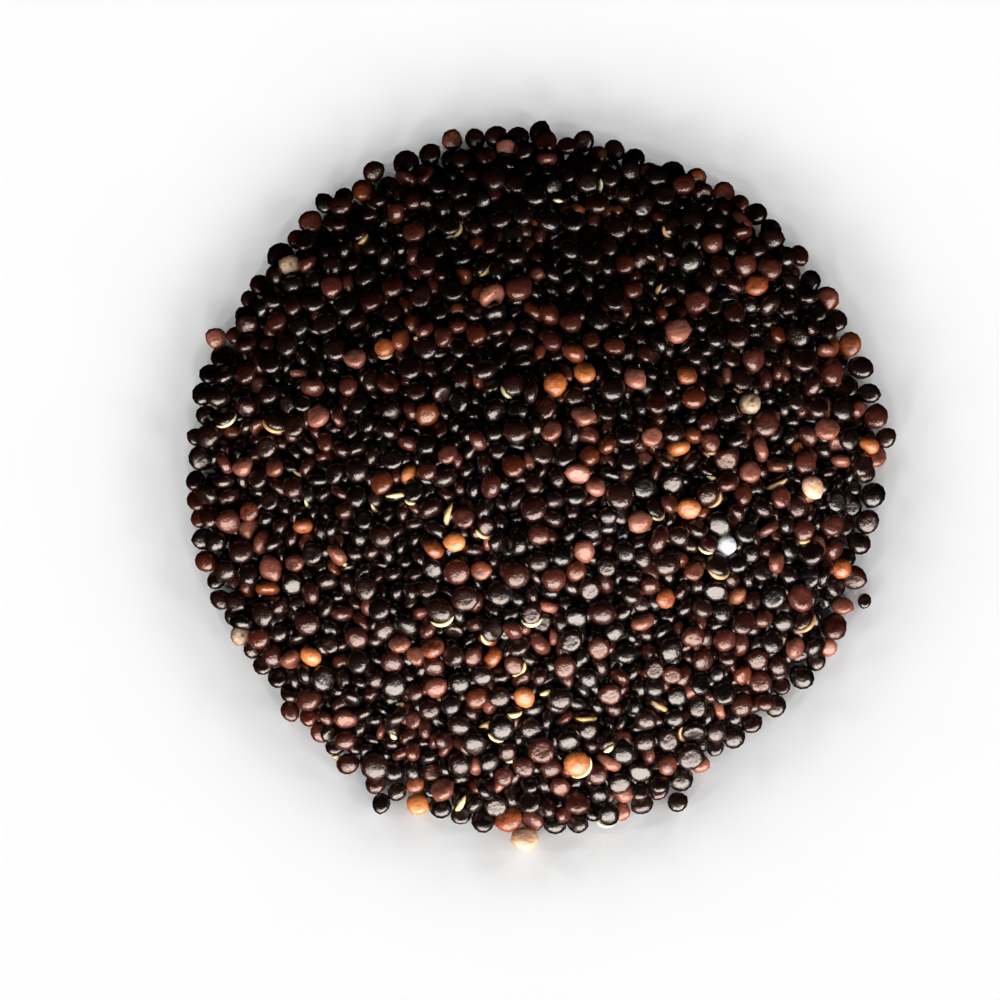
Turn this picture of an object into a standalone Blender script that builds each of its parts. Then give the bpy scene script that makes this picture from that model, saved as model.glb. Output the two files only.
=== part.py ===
"""A heap of black quinoa as it lies on a table, with one small grain that rolled clear of it.

The grains are settled over a smooth core by pushing apart the ones that overlap, which gives
each grain its place, size and tilt. The heap's solid is a skin over the grains that show, with
a bump of true size for each, and whole grains are fused on all round the foot and where a grain
stands proud. +Z is up, +Y points away from the side that the light comes from, and the origin
is on the table below the middle of the heap. Sizes are in millimetres until the last step.
"""

import bmesh
import bpy
import numpy as np
from mathutils import Matrix, Vector
from mathutils.geometry import delaunay_2d_cdt

MILLIMETRE = 0.001

# The heap: a rounded cone at the slope where poured quinoa comes to rest.
SLOPE = 24.0
CORE_RADIUS = 28.6
CORE_HEIGHT = 8.9
REACH = 30.5
# The outline leaves the circle by these waves: turns per round, share of the radius, phase.
OUTLINE_WAVES = (
    (1, 0.0225, -1.98),
    (2, 0.0090, -2.60),
    (3, 0.0140, -1.20),
    (4, 0.0090, 0.00),
    (5, 0.0075, 2.90),
    (8, 0.0065, -1.50),
    (9, 0.0090, -0.90),
)

# The grains: flat round seeds, uneven in size, in a layer two or three deep over the core.
GRAIN_COUNT = 1780
GRAIN_RADIUS = 1.04
RADIUS_SPREAD = 0.11
RADIUS_LIMITS = (0.70, 1.25)
GRAIN_FLATNESS = 0.66
FLATNESS_SPREAD = 0.06
FLATNESS_LIMITS = (0.52, 0.82)

# The start: a random spread of grains at these heights over the core, tilted at random.
SEED = 7
START_HEIGHTS = (0.2, 3.9)
START_TILT = 1.5

# Settling, for each step: an overlap pushes two grains apart by PUSH of its depth and turns
# them by TURN, and each grain sinks on to the core, more gently in the last steps.
SETTLING_STEPS = 260
CALM_STEPS = 65
PUSH = 0.35
LONGEST_MOVE = 0.3
TURN = 0.22
SINKING = 0.05
CALM_SINKING = 0.012
# Share of the distance past the outline that a grain is pulled back.
INWARD_PULL = 0.1
# Grains lean very slightly towards lying flat, and firmly within TABLE_BAND radii of the table.
LYING_DOWN = 0.0005
LYING_ON_TABLE = 0.06
TABLE_BAND = 1.2
# Grains within NEAR_PAIR radii are tested for contact, and the list is renewed now and then.
PAIRS_EVERY = 8
NEAR_PAIR = 2.9
# Outside the height where the core has dipped this far under the table, it carries no grain.
EDGE_OF_CORE = -3.0

# Grains that stand out from the edge of the heap: x, y and radius.
STRAYS = (
    (0.18, 31.90, 1.08),
    (4.14, 31.05, 1.05),
    (-14.90, 28.30, 1.05),
    (-19.30, 25.40, 1.00),
    (-26.50, 15.00, 1.00),
    (-29.10, 13.10, 1.00),
    (14.30, 27.70, 1.05),
    (21.10, 23.00, 1.05),
    (-7.80, 31.20, 1.00),
    (-5.70, 31.30, 1.00),
    (31.40, 4.00, 1.00),
    (-14.10, -29.00, 0.95),
    (-22.30, -20.70, 1.00),
    (-1.20, -32.20, 1.22),
    (12.50, -28.90, 0.95),
)
LONE_GRAIN = (29.40, -10.75, 0.70)
PINNED = np.array(STRAYS + (LONE_GRAIN,))

# The map of the heap from above, with the cells that a grain reaches to each side.
MAP_CELL = 0.12
CELLS_PER_GRAIN = 12

# The skin of the solid. A grain gets a bump where more of it shows than this area.
SHOWING_AREA = 1.7
RIM_SHOWING_AREA = 1.1
RIM_BAND = 2.6
# The footprint's edge follows notches, and keeps no side longer than this.
RIM_EDGE = 3.6
RIM_TIP_HEIGHT = 0.7
SHALLOWEST_VALLEY = 1.1
DEEPEST_VALLEY = 2.2
LOWEST_SKIN = 0.30
# The grains that stand out most have a round cap, whose ring is this far from tip to valley.
CAPPED_GRAINS = 600
CAP_REACH = 0.68
# Points lower than this belong to the flat base.
BASE_BAND = 0.15
MOST_TRIANGLES = 11800


def outline(bearing):
    """Radius of the outline at a bearing, as a multiple of its mean."""
    return 1 + sum(share * np.cos(turns * bearing + phase) for turns, share, phase in OUTLINE_WAVES)


def core_surface(x, y):
    """Height and outward normal of the smooth core: a hyperbola that ends in a straight slope."""
    spread = np.maximum(np.hypot(x, y), 1e-9)
    radius = spread / outline(np.arctan2(y, x))
    tangent = np.tan(np.radians(SLOPE))
    run = tangent * CORE_RADIUS
    peak = (run**2 / CORE_HEIGHT + CORE_HEIGHT) / 2
    reach = np.hypot(peak - CORE_HEIGHT, tangent * radius)
    slope = tangent**2 * radius / reach
    normal = np.stack([slope * x / spread, slope * y / spread, np.ones_like(radius)], axis=-1)
    return peak - reach, normal / np.linalg.norm(normal, axis=-1, keepdims=True)


def radius_towards(cosine, radius, half_thickness):
    """Radius of a flat round grain in a direction at this cosine to its axis."""
    return 1 / np.sqrt(cosine**2 / half_thickness**2 + (1 - cosine**2) / radius**2)


def half_extent(axis_part, radius, half_thickness):
    """Half of a grain's width along a line that has this cosine to its axis."""
    return np.sqrt(half_thickness**2 * axis_part**2 + radius**2 * (1 - axis_part**2))


def scattered(draws):
    """Place, axis, radius and half thickness of every grain before it settles."""
    bearing = draws.uniform(0, 2 * np.pi, GRAIN_COUNT)
    spread = REACH * np.sqrt(draws.uniform(0, 1, GRAIN_COUNT)) * outline(bearing)
    x, y = spread * np.cos(bearing), spread * np.sin(bearing)
    height, normal = core_surface(x, y)
    places = np.stack([x, y, np.maximum(height, 0) + GRAIN_RADIUS], axis=-1)
    places += normal * draws.uniform(*START_HEIGHTS, GRAIN_COUNT)[:, None]
    radius = GRAIN_RADIUS * np.clip(draws.normal(1, RADIUS_SPREAD, GRAIN_COUNT), *RADIUS_LIMITS)
    radius[: len(PINNED)] = PINNED[:, 2]
    flatness = draws.normal(GRAIN_FLATNESS, FLATNESS_SPREAD, GRAIN_COUNT)
    axis = normal + draws.normal(0, START_TILT, (GRAIN_COUNT, 3))
    axis /= np.linalg.norm(axis, axis=1, keepdims=True)
    return places, axis, radius, radius * np.clip(flatness, *FLATNESS_LIMITS)


def near_pairs(places):
    """Indices of all pairs of grains that are near enough to touch."""
    squares = (places**2).sum(axis=1)
    distances = squares[:, None] + squares[None, :] - 2 * places @ places.T
    return np.nonzero(np.triu(distances < (NEAR_PAIR * GRAIN_RADIUS) ** 2, 1))


def summed(pair, pulls):
    """Sums the vectors of all contacts, one for either grain of a pair, into one for each grain."""
    return np.stack(
        [
            sum(np.bincount(grain, pull[:, k], GRAIN_COUNT) for grain, pull in zip(pair, pulls))
            for k in range(3)
        ],
        axis=-1,
    )


def contact_moves(pair, places, axis, radius, thickness):
    """Move of every grain out of its neighbours, and the turn that lays them face to face."""
    line = places[pair[1]] - places[pair[0]]
    gap = np.maximum(np.linalg.norm(line, axis=1), 1e-6)
    line /= gap[:, None]
    cosines = [(line * axis[grain]).sum(axis=1) for grain in pair]
    ends = zip(cosines, pair)
    touching = sum(radius_towards(cosine, radius[grain], thickness[grain]) for cosine, grain in ends)
    overlap = np.maximum(touching - gap, 0)[:, None]
    push = PUSH * overlap * line
    turns = [TURN * overlap * np.sign(cosine)[:, None] * line for cosine in cosines]
    return summed(pair, [-push, push]), summed(pair, turns)


def keep_on_table(places, axis, radius, thickness):
    """Holds the strays at their spots, and lifts every grain out of the table."""
    places[: len(PINNED), :2] = PINNED[:, :2]
    places[: len(PINNED), 2] = 0
    places[:, 2] = np.maximum(places[:, 2], half_extent(axis[:, 2], radius, thickness))


def settle():
    """Place, axis, radius and half thickness of every grain, the lone one last of the pinned."""
    places, axis, radius, thickness = scattered(np.random.default_rng(SEED))
    for step in range(SETTLING_STEPS):
        keep_on_table(places, axis, radius, thickness)
        if step % PAIRS_EVERY == 0:
            # Rounded, so that the heap settles alike on every machine.
            places, axis = np.round(places, 6), np.round(axis, 6)
            pair = near_pairs(places)
        move, turn = contact_moves(pair, places, axis, radius, thickness)
        places += np.clip(move, -LONGEST_MOVE, LONGEST_MOVE)
        height, normal = core_surface(places[:, 0], places[:, 1])
        places -= (SINKING if step < SETTLING_STEPS - CALM_STEPS else CALM_SINKING) * normal
        on_table = (places[:, 2] < TABLE_BAND * radius)[:, None]
        up = np.where(on_table, (0, 0, 1), normal)
        side = np.sign((axis * up).sum(axis=1, keepdims=True))
        axis = axis + turn + np.where(on_table, LYING_ON_TABLE, LYING_DOWN) * side * up
        axis /= np.linalg.norm(axis, axis=1, keepdims=True)
        spread = np.hypot(places[:, 0], places[:, 1])
        limit = REACH * outline(np.arctan2(places[:, 1], places[:, 0]))
        inward = INWARD_PULL * np.maximum(spread - limit, 0) / np.maximum(spread, 1e-9)
        places[:, :2] -= inward[:, None] * places[:, :2]
        lift = half_extent((axis * normal).sum(axis=1), radius, thickness)
        sunk = np.maximum(lift - (places[:, 2] - height) * normal[:, 2], 0) * (height > EDGE_OF_CORE)
        places += sunk[:, None] * normal
    keep_on_table(places, axis, radius, thickness)
    return places, axis, radius, thickness


def centred(places, axis, radius, thickness):
    """The places moved so that the middle of the heap's box is at x = y = 0."""
    sides = half_extent(axis, radius[:, None], thickness[:, None])
    middle = ((places - sides).min(axis=0) + (places + sides).max(axis=0)) / 2
    return places - middle * (1, 1, 0)


def upper_surface(x, y, place, axis, radius, thickness):
    """Height of a grain's upper surface over a point, or minus infinity beside the grain.

    With w the vector from the centre, the grain is |w|^2 / r^2 + (w.axis)^2 (1/t^2 - 1/r^2) = 1,
    which is a quadratic in the height of w.
    """
    dx, dy = x - place[..., 0], y - place[..., 1]
    extra = 1 / thickness**2 - 1 / radius**2
    flat = dx * axis[..., 0] + dy * axis[..., 1]
    a = 1 / radius**2 + extra * axis[..., 2] ** 2
    b = 2 * extra * flat * axis[..., 2]
    c = (dx**2 + dy**2) / radius**2 + extra * flat**2 - 1
    root = b**2 - 4 * a * c
    height = (-b + np.sqrt(np.maximum(root, 0))) / (2 * a)
    return np.where(root > 0, place[..., 2] + height, -np.inf)


def seen_from_above(places, axis, radius, thickness):
    """Map of the heap's height, and for each grain the area and the middle of what shows of it."""
    steps = np.arange(-CELLS_PER_GRAIN, CELLS_PER_GRAIN + 1)
    step_x, step_y = (side.ravel() for side in np.meshgrid(steps, steps, indexing="ij"))
    column = np.round(places[:, :1] / MAP_CELL).astype(int) + step_x
    row = np.round(places[:, 1:2] / MAP_CELL).astype(int) + step_y
    grain = [value[:, None] for value in (places, axis, radius, thickness)]
    heights = upper_surface(column * MAP_CELL, row * MAP_CELL, *grain)
    half = int(1.2 * REACH / MAP_CELL)
    line = np.arange(-half, half + 1) * MAP_CELL
    grid = np.maximum(core_surface(*np.meshgrid(line, line, indexing="ij"))[0], 0)
    np.maximum.at(grid, (column + half, row + half), heights)
    seen = heights >= grid[column + half, row + half]
    cells = np.maximum(seen.sum(axis=1), 1)
    middle = np.stack([(seen * column).sum(axis=1), (seen * row).sum(axis=1)], axis=-1)
    return grid, seen.sum(axis=1) * MAP_CELL**2, middle / cells[:, None] * MAP_CELL


def height_at(grid, points):
    """Height of the map at the cell nearest to each point."""
    half = len(grid) // 2
    cells = np.round(points / MAP_CELL).astype(int) + half
    return grid[cells[:, 0], cells[:, 1]]


def footprint(tips):
    """Triangles that join the tips, without the ones that would bridge a notch in the edge."""
    corners, _, faces = delaunay_2d_cdt([Vector(tip) for tip in tips], [], [], 0, 1e-6)[:3]
    assert len(corners) == len(tips)
    owner = {}
    for face in faces:
        for k in range(3):
            owner[face[k], face[(k + 1) % 3]] = tuple(face)
    rim = [edge for edge in owner if edge[::-1] not in owner]
    on_rim = {corner for edge in rim for corner in edge}
    while rim:
        rim.sort(key=lambda edge: np.hypot(*(tips[edge[0]] - tips[edge[1]])))
        edge = rim.pop()
        if np.hypot(*(tips[edge[0]] - tips[edge[1]])) < RIM_EDGE:
            break
        face = owner[edge]
        third = next(corner for corner in face if corner not in edge)
        if third in on_rim:
            continue
        on_rim.add(third)
        for k in range(3):
            del owner[face[k], face[(k + 1) % 3]]
        rim += [(third, edge[1]), (edge[0], third)]
    return owner


def rim_loop(owner):
    """Corners round the edge of the footprint, in order, with the inside on the left."""
    following = dict(edge for edge in owner if edge[::-1] not in owner)
    loop = [min(following)]
    while following[loop[-1]] != loop[0]:
        loop.append(following[loop[-1]])
    return loop


def skin(tips, owner, valleys, capped, grain_values):
    """Points and faces of the heap's skin, closed by a wall round the foot and a flat base.

    Each tip is the top of a facetted bump whose foot runs through the valleys round it. A capped
    bump also has a ring of points, on the grain's own surface, between its top and its foot.
    """
    faces_of = sorted(set(owner.values()))
    points = [tuple(tip) for tip in tips] + [valleys[face] for face in faces_of]
    valley_index = {face: len(tips) + k for k, face in enumerate(faces_of)}
    ring_index = {}

    def ring(corner, face):
        if (corner, face) not in ring_index:
            top, foot = np.array(tips[corner]), np.array(valleys[face])
            x, y, z = top + CAP_REACH * (foot - top)
            place, axis, radius, thickness = (value[corner] for value in grain_values)
            surface = upper_surface(x, y, place, axis, radius, thickness)
            ring_index[corner, face] = len(points)
            points.append((x, y, float(max(z, min(surface, top[2])))))
        return ring_index[corner, face]

    faces = []
    for (corner, other), left in owner.items():
        right = owner.get((other, corner))
        if right is None:
            faces.append((corner, other, valley_index[left]))
            continue
        outer_right, outer_left = valley_index[right], valley_index[left]
        if corner in capped:
            inner_right, inner_left = ring(corner, right), ring(corner, left)
            faces.append((corner, inner_right, inner_left))
            faces.append((inner_right, outer_right, outer_left))
            faces.append((inner_right, outer_left, inner_left))
        else:
            faces.append((corner, outer_right, outer_left))
    loop = rim_loop(owner)
    base = {corner: len(points) + k for k, corner in enumerate(loop)}
    points += [(tips[corner][0], tips[corner][1], 0.0) for corner in loop]
    for corner, other in zip(loop, loop[1:] + loop[:1]):
        faces.append((base[corner], base[other], other, corner))
    faces.append([base[corner] for corner in reversed(loop)])
    return points, faces


def grain_frame(place, axis, radius, thickness):
    """Matrix that takes a unit ball to the grain."""
    turn = Vector(axis).to_track_quat("Z", "Y").to_matrix().to_4x4()
    size = Matrix.Diagonal((radius, radius, thickness, 1))
    return Matrix.Translation(place) @ turn @ size


def grain_object(name, frame, collection, fine=False):
    """One whole grain as a closed solid, coarse where many are joined."""
    mesh = bpy.data.meshes.new(name)
    shape = bmesh.new()
    if fine:
        bmesh.ops.create_uvsphere(shape, u_segments=12, v_segments=7, radius=1, matrix=frame)
    else:
        bmesh.ops.create_icosphere(shape, subdivisions=1, radius=1, matrix=frame)
    shape.to_mesh(mesh)
    shape.free()
    grain = bpy.data.objects.new(name, mesh)
    collection.objects.link(grain)
    return grain


def islands(shape):
    """The connected groups of faces of a bmesh."""
    left = set(shape.faces)
    while left:
        group, front = set(), [left.pop()]
        while front:
            face = front.pop()
            group.add(face)
            for edge in face.edges:
                for neighbour in edge.link_faces:
                    if neighbour in left:
                        left.remove(neighbour)
                        front.append(neighbour)
        yield group


def keep_outer_body(mesh):
    """Fills what the joined grains seal off and drops scraps: only the largest shell stays."""
    shape = bmesh.new()
    shape.from_mesh(mesh)
    bmesh.ops.triangulate(shape, faces=[face for face in shape.faces if len(face.verts) > 3])
    shells = sorted(islands(shape), key=len)
    inner = [face for shell in shells[:-1] for face in shell]
    bmesh.ops.delete(shape, geom=inner, context="FACES")
    loose = [point for point in shape.verts if not point.link_faces]
    bmesh.ops.delete(shape, geom=loose, context="VERTS")
    shape.to_mesh(mesh)
    shape.free()
    return len(shells) - 1


def material(name, colour, roughness):
    """A Principled material for the solid."""
    made = bpy.data.materials.new(name)
    made.use_nodes = True
    shader = made.node_tree.nodes["Principled BSDF"]
    shader.inputs["Base Color"].default_value = (*colour, 1)
    shader.inputs["Roughness"].default_value = roughness
    shader.inputs["Metallic"].default_value = 0
    return made


def apply_modifiers(thing):
    """Makes the object's modifiers part of its mesh."""
    bpy.context.view_layer.update()
    depsgraph = bpy.context.evaluated_depsgraph_get()
    thing.data = bpy.data.meshes.new_from_object(thing.evaluated_get(depsgraph))
    thing.modifiers.clear()


def grains_that_show(grains):
    """Which grains get a bump, where the top of each bump stands, and the map of the heap."""
    places, _, radius, _ = grains
    grid, area, middle = seen_from_above(*grains)
    spread = np.hypot(places[:, 0], places[:, 1])
    bearing = np.arctan2(places[:, 1], places[:, 0])
    in_rim_band = spread > REACH * outline(bearing) - RIM_BAND
    shows = area > np.where(in_rim_band, RIM_SHOWING_AREA, SHOWING_AREA)
    shows[len(STRAYS)] = False
    tips = np.where(in_rim_band[:, None], places[:, :2], middle)
    return shows, tips[shows], grid


def valley_points(tips, owner, grid):
    """The lowest point between each three neighbouring tips, as deep as the gap is there."""
    valleys = {}
    for face in set(owner.values()):
        corners = tips[list(face)]
        foot = corners[:, :2].mean(axis=0)
        level = corners[:, 2].mean()
        gap = level - height_at(grid, foot[None])[0]
        depth = np.clip(gap, SHALLOWEST_VALLEY, DEEPEST_VALLEY)
        valleys[face] = (*foot, max(level - depth, LOWEST_SKIN))
    return valleys


def build_heap(grains, parts, joined):
    """The heap's solid: a bumpy skin over the grains, with whole ones joined on round its foot."""
    shows, tips, grid = grains_that_show(grains)
    shown = [value[shows] for value in grains]
    places, _, radius, _ = shown
    heights = upper_surface(tips[:, 0], tips[:, 1], *shown)
    owner = footprint(tips)
    loop = rim_loop(owner)
    heights[loop] = RIM_TIP_HEIGHT * places[loop, 2]
    tips = np.column_stack([tips, heights])
    valleys = valley_points(tips, owner, grid)
    inside = np.setdiff1d(np.arange(len(tips)), loop)
    prominence = heights - core_surface(tips[:, 0], tips[:, 1])[0] + radius
    capped = set(inside[np.argsort(-prominence[inside])][:CAPPED_GRAINS])
    points, faces = skin([tuple(tip) for tip in tips], owner, valleys, capped, shown)
    mesh = bpy.data.meshes.new("quinoa_heap")
    mesh.from_pydata(points, [], faces)
    heap = bpy.data.objects.new("quinoa_heap", mesh)
    parts.objects.link(heap)
    for corner in loop:
        grain_object("grain", grain_frame(*(value[corner] for value in shown)), joined)
    union = heap.modifiers.new("grains round the foot", "BOOLEAN")
    union.operation = "UNION"
    union.operand_type = "COLLECTION"
    union.collection = joined
    union.solver = "MANIFOLD"
    apply_modifiers(heap)
    for grain in list(joined.objects):
        bpy.data.objects.remove(grain)
    keep_outer_body(heap.data)
    thin = heap.modifiers.new("fewer small faces", "DECIMATE")
    thin.ratio = min(1, MOST_TRIANGLES / len(heap.data.polygons))
    print(f"{len(tips)} bumps, {len(loop)} grains round the foot, {thin.ratio:.2f} of the faces kept")
    apply_modifiers(heap)
    for point in heap.data.vertices:
        if point.co.z < BASE_BAND:
            point.co.z = 0
    keep_outer_body(heap.data)
    return heap


def main():
    for thing in list(bpy.data.objects):
        bpy.data.objects.remove(thing)
    parts = bpy.data.collections.new("heap of black quinoa")
    joined = bpy.data.collections.new("whole grains")
    bpy.context.scene.collection.children.link(parts)
    bpy.context.scene.collection.children.link(joined)
    grains = settle()
    grains = (centred(*grains), *grains[1:])
    heap = build_heap(grains, parts, joined)
    lone = [value[len(STRAYS)] for value in grains]
    lone_grain = grain_object("loose_grain", grain_frame(*lone), parts, fine=True)
    heap.data.materials.clear()
    heap.data.materials.append(material("black seed coat", (0.017, 0.010, 0.008), 0.35))
    lone_grain.data.materials.append(material("dark brown seed coat", (0.030, 0.012, 0.009), 0.40))
    for part in (heap, lone_grain):
        part.data.transform(Matrix.Scale(MILLIMETRE, 4))


main()
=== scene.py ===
# %% [markdown]
# # A heap of black quinoa
# The photograph looks almost straight down on a low round heap of dry black quinoa. Each grain is
# a flat round seed about 2 mm across. Most coats are near black or dark maroon, a few are wrinkled
# and pinkish, russet or straw-coloured, and here and there the pale germ has come loose.
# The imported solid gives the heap's place and size, so the scene starts from it.

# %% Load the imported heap
import bpy
import numpy as np
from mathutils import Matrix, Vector


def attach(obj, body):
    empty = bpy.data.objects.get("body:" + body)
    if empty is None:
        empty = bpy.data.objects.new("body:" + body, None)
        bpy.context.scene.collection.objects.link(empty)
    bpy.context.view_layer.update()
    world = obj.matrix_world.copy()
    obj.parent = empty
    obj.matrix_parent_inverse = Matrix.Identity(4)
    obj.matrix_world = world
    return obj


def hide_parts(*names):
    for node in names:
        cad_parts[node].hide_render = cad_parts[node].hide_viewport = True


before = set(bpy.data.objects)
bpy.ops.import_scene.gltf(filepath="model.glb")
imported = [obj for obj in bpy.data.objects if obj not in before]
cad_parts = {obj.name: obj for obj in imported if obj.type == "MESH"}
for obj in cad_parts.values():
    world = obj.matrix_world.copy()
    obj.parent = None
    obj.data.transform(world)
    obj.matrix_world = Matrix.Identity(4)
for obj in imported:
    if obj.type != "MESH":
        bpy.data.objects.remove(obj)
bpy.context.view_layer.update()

MILLIMETRE = 0.001

# %% [markdown]
# ## The form of the heap
# Poured grain comes to rest in a cone with a rounded top. A hyperbola turned about the vertical
# has just this form: it is round at the top and straight further out. A few waves round the edge
# make the outline as uneven as the real one. A heightfield from noise would also be uneven, but
# its foot would not end in single grains. All sizes here are in millimetres, and they are the
# same driving sizes as in the part's solid, so the two agree grain for grain.

# %% The core's surface
SLOPE = 24.0
CORE_RADIUS = 28.6
CORE_HEIGHT = 8.9
REACH = 30.5
OUTLINE_WAVES = (
    (1, 0.0225, -1.98),
    (2, 0.0090, -2.60),
    (3, 0.0140, -1.20),
    (4, 0.0090, 0.00),
    (5, 0.0075, 2.90),
    (8, 0.0065, -1.50),
    (9, 0.0090, -0.90),
)


def outline(bearing):
    """Radius of the outline as a share of its mean: one plus a few cosine waves round the edge."""
    return 1 + sum(share * np.cos(turns * bearing + phase) for turns, share, phase in OUTLINE_WAVES)


def core_surface(x, y):
    """Height and normal of the core.

    The height is the peak less the hypotenuse of the tip's drop and the slope times the radius.
    """
    spread = np.maximum(np.hypot(x, y), 1e-9)
    radius = spread / outline(np.arctan2(y, x))
    tangent = np.tan(np.radians(SLOPE))
    run = tangent * CORE_RADIUS
    peak = (run**2 / CORE_HEIGHT + CORE_HEIGHT) / 2
    reach = np.hypot(peak - CORE_HEIGHT, tangent * radius)
    slope = tangent**2 * radius / reach
    normal = np.stack([slope * x / spread, slope * y / spread, np.ones_like(radius)], axis=-1)
    return peak - reach, normal / np.linalg.norm(normal, axis=-1, keepdims=True)


print("core is", round(float(core_surface(np.array(0.0), np.array(0.0))[0]), 2), "mm high")

# %% [markdown]
# ## Where each grain lies
# Real grains settle against each other: none floats, none passes through its neighbour, and flat
# ones turn until they lie against their neighbours. Rigid body simulation could pour them, but it
# is slow for nearly 1800 bodies, and its result changes with the version of Blender. Here every
# grain starts at a seeded random place, and many small steps push overlapping neighbours apart,
# turn them towards the contact, and draw them down on to the core. It takes a few seconds and is
# always the same.

# %% Sizes of the grains
# The grains: flat round seeds, uneven in size, in a layer two or three deep over the core.
GRAIN_COUNT = 1780
GRAIN_RADIUS = 1.04
RADIUS_SPREAD = 0.11
RADIUS_LIMITS = (0.70, 1.25)
GRAIN_FLATNESS = 0.66
FLATNESS_SPREAD = 0.06
FLATNESS_LIMITS = (0.52, 0.82)

# The start: a random spread of grains at these heights over the core, tilted at random.
SEED = 7
START_HEIGHTS = (0.2, 3.9)
START_TILT = 1.5

# Settling, for each step: an overlap pushes two grains apart by PUSH of its depth and turns
# them by TURN, and each grain sinks on to the core, more gently in the last steps.
SETTLING_STEPS = 260
CALM_STEPS = 65
PUSH = 0.35
LONGEST_MOVE = 0.3
TURN = 0.22
SINKING = 0.05
CALM_SINKING = 0.012
# Share of the distance past the outline that a grain is pulled back.
INWARD_PULL = 0.1
# Grains lean very slightly towards lying flat, and firmly within TABLE_BAND radii of the table.
LYING_DOWN = 0.0005
LYING_ON_TABLE = 0.06
TABLE_BAND = 1.2
# Grains within NEAR_PAIR radii are tested for contact, and the list is renewed now and then.
PAIRS_EVERY = 8
NEAR_PAIR = 2.9
# Outside the height where the core has dipped this far under the table, it carries no grain.
EDGE_OF_CORE = -3.0

# Grains that stand out from the edge of the heap: x, y and radius.
STRAYS = (
    (0.18, 31.90, 1.08),
    (4.14, 31.05, 1.05),
    (-14.90, 28.30, 1.05),
    (-19.30, 25.40, 1.00),
    (-26.50, 15.00, 1.00),
    (-29.10, 13.10, 1.00),
    (14.30, 27.70, 1.05),
    (21.10, 23.00, 1.05),
    (-7.80, 31.20, 1.00),
    (-5.70, 31.30, 1.00),
    (31.40, 4.00, 1.00),
    (-14.10, -29.00, 0.95),
    (-22.30, -20.70, 1.00),
    (-1.20, -32.20, 1.22),
    (12.50, -28.90, 0.95),
)
LONE_GRAIN = (29.40, -10.75, 0.70)
PINNED = np.array(STRAYS + (LONE_GRAIN,))

# %% Scatter the grains
def radius_towards(cosine, radius, half_thickness):
    """A grain's own radius in a direction: one over the root of cos^2 / t^2 + sin^2 / r^2."""
    return 1 / np.sqrt(cosine**2 / half_thickness**2 + (1 - cosine**2) / radius**2)


def half_extent(axis_part, radius, half_thickness):
    """Half a grain's width along a line: root of t^2 cos^2 + r^2 sin^2 of the angle to its axis."""
    return np.sqrt(half_thickness**2 * axis_part**2 + radius**2 * (1 - axis_part**2))


def scattered(draws):
    """Place, axis, radius and half thickness of every grain at the start.

    The root of an even draw spreads the grains evenly over the area of a disc.
    """
    bearing = draws.uniform(0, 2 * np.pi, GRAIN_COUNT)
    spread = REACH * np.sqrt(draws.uniform(0, 1, GRAIN_COUNT)) * outline(bearing)
    x, y = spread * np.cos(bearing), spread * np.sin(bearing)
    height, normal = core_surface(x, y)
    places = np.stack([x, y, np.maximum(height, 0) + GRAIN_RADIUS], axis=-1)
    places += normal * draws.uniform(*START_HEIGHTS, GRAIN_COUNT)[:, None]
    radius = GRAIN_RADIUS * np.clip(draws.normal(1, RADIUS_SPREAD, GRAIN_COUNT), *RADIUS_LIMITS)
    radius[: len(PINNED)] = PINNED[:, 2]
    flatness = draws.normal(GRAIN_FLATNESS, FLATNESS_SPREAD, GRAIN_COUNT)
    axis = normal + draws.normal(0, START_TILT, (GRAIN_COUNT, 3))
    axis /= np.linalg.norm(axis, axis=1, keepdims=True)
    return places, axis, radius, radius * np.clip(flatness, *FLATNESS_LIMITS)


start_places = scattered(np.random.default_rng(SEED))[0]
highest_start = round(float(start_places[:, 2].max()), 1)
print("grains scattered:", len(start_places), "up to", highest_start, "mm high")

# %% [markdown]
# Two grains touch where the distance between them equals their radii towards each other. Testing
# every pair one by one would take a loop of over a million turns, so the distances come from one
# product of matrices, and only the pairs near enough to touch are kept.

# %% Contacts between neighbours
def near_pairs(places):
    """Pairs near enough to touch, from all squared distances at once: |a|^2 + |b|^2 - 2 a.b."""
    squares = (places**2).sum(axis=1)
    distances = squares[:, None] + squares[None, :] - 2 * places @ places.T
    return np.nonzero(np.triu(distances < (NEAR_PAIR * GRAIN_RADIUS) ** 2, 1))


def summed(pair, pulls):
    """Sums the vectors of all contacts, one for either grain of a pair, into one for each grain."""
    return np.stack(
        [
            sum(np.bincount(grain, pull[:, k], GRAIN_COUNT) for grain, pull in zip(pair, pulls))
            for k in range(3)
        ],
        axis=-1,
    )


def contact_moves(pair, places, axis, radius, thickness):
    """Move and turn of every grain from its contacts.

    An overlap is the two radii towards each other less the distance. It moves both grains apart
    along the line between them, and adds a share of that line to their axes.
    """
    line = places[pair[1]] - places[pair[0]]
    gap = np.maximum(np.linalg.norm(line, axis=1), 1e-6)
    line /= gap[:, None]
    cosines = [(line * axis[grain]).sum(axis=1) for grain in pair]
    touching = sum(
        radius_towards(cosine, radius[grain], thickness[grain])
        for cosine, grain in zip(cosines, pair)
    )
    overlap = np.maximum(touching - gap, 0)[:, None]
    push = PUSH * overlap * line
    turns = [TURN * overlap * np.sign(cosine)[:, None] * line for cosine in cosines]
    return summed(pair, [-push, push]), summed(pair, turns)


print("pairs near each other at the start:", len(near_pairs(start_places)[0]))

# %% [markdown]
# The settling is a loop of small steps, since each step needs the places that the last one gave.
# The strays at the edge and the lone grain are held at their spots, and their neighbours make way.

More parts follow.
